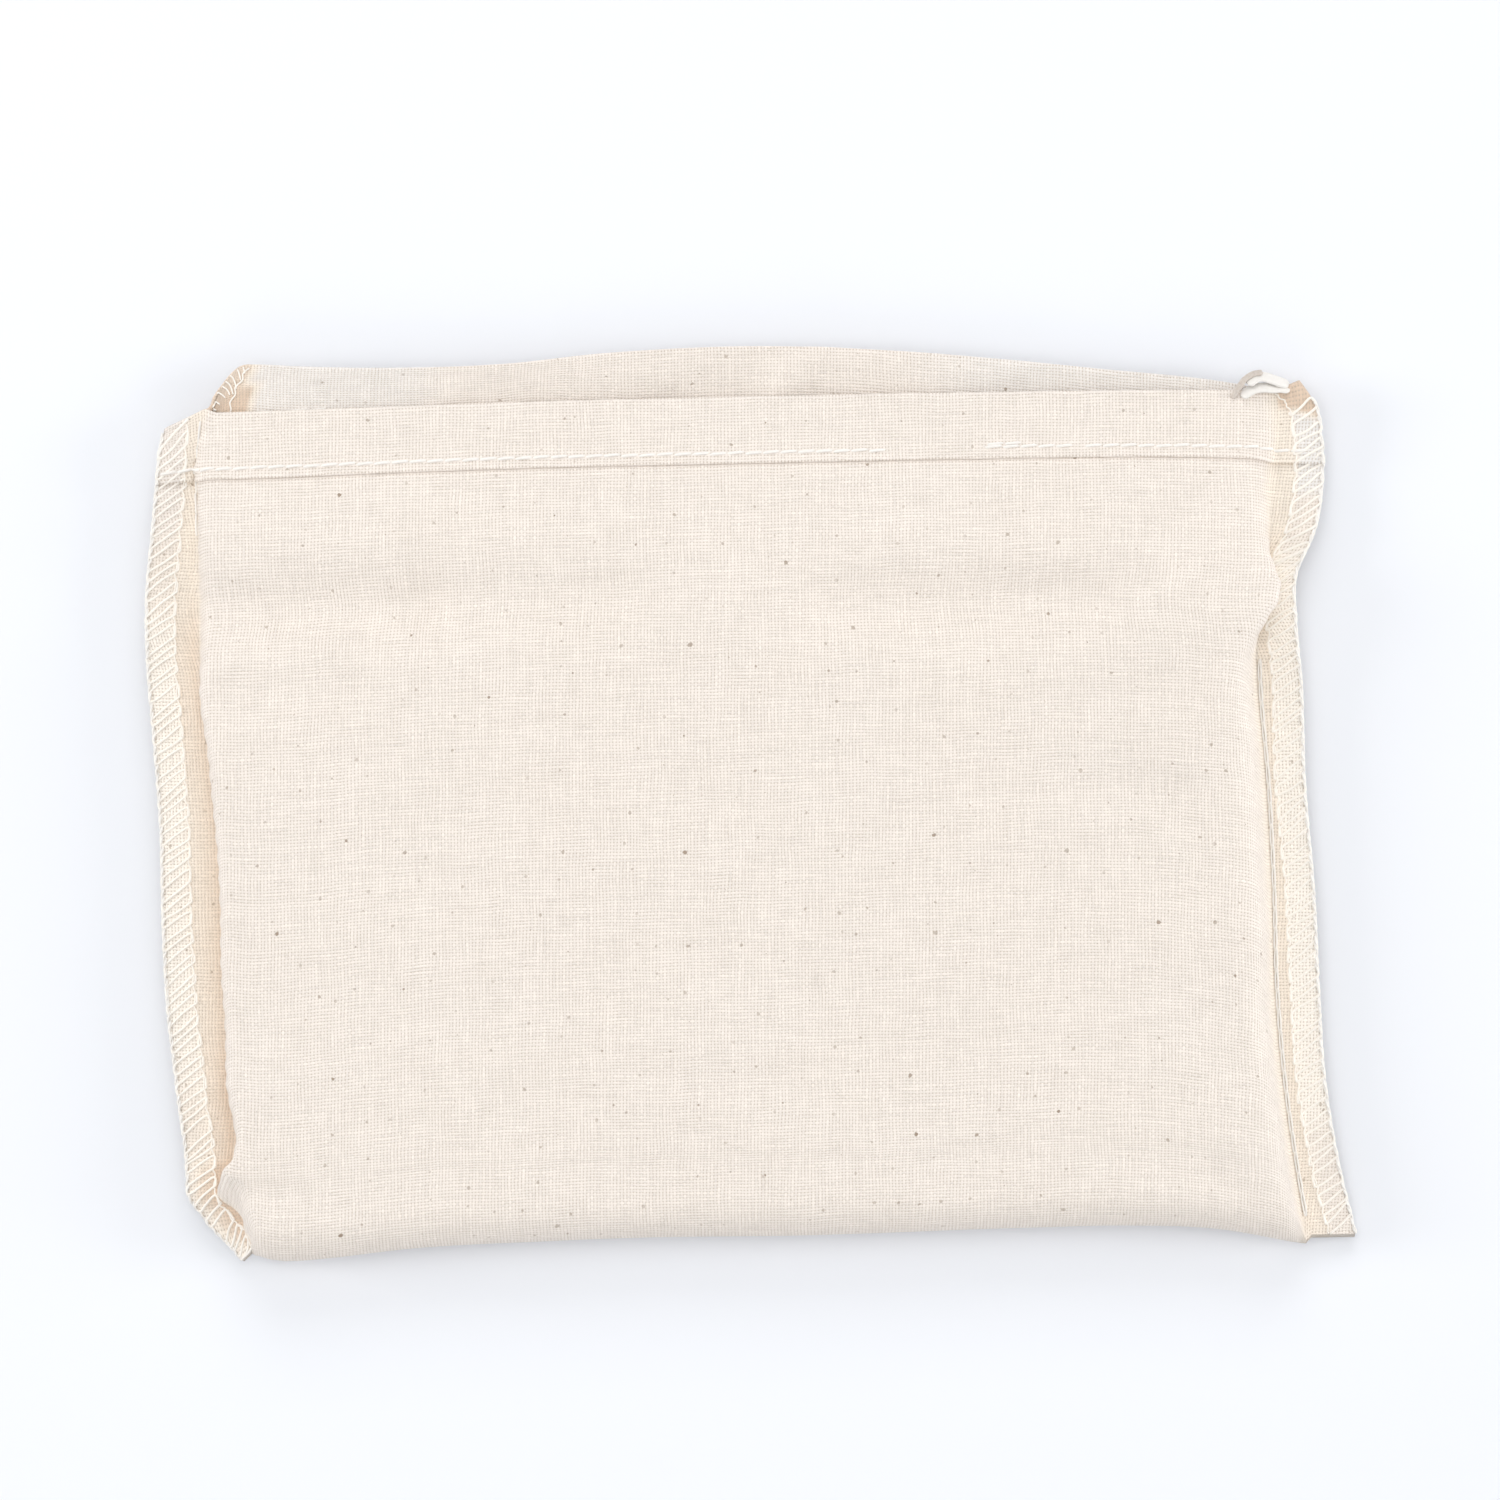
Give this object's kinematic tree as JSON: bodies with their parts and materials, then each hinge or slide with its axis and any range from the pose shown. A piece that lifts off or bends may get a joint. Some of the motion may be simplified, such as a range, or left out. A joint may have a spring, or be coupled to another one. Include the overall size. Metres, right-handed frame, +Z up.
{
  "type": "cloth bag",
  "caption": "Small unbleached cotton bag turned inside out, with overlocked side seams, a folded bottom and a hemmed open mouth, lying on its back.",
  "frame": {"origin": "middle of the bag's footprint, on the surface that it lies on", "axes": "+X across the bag towards its right seam, +Y along the bag towards its mouth, +Z up from the back panel to the front panel"},
  "size_m": [0.1984, 0.1526, 0.0136],
  "materials": {
    "cotton_cloth": "matt plain weave, unbleached, with seed specks",
    "sewing_thread": "matt off-white thread over the cloth's raw edges"
  },
  "bodies": {
    "root": {"bag_cloth": "cotton_cloth", "bound_edge_left": "sewing_thread", "bound_edge_right": "sewing_thread"}
  },
  "joints": []
}
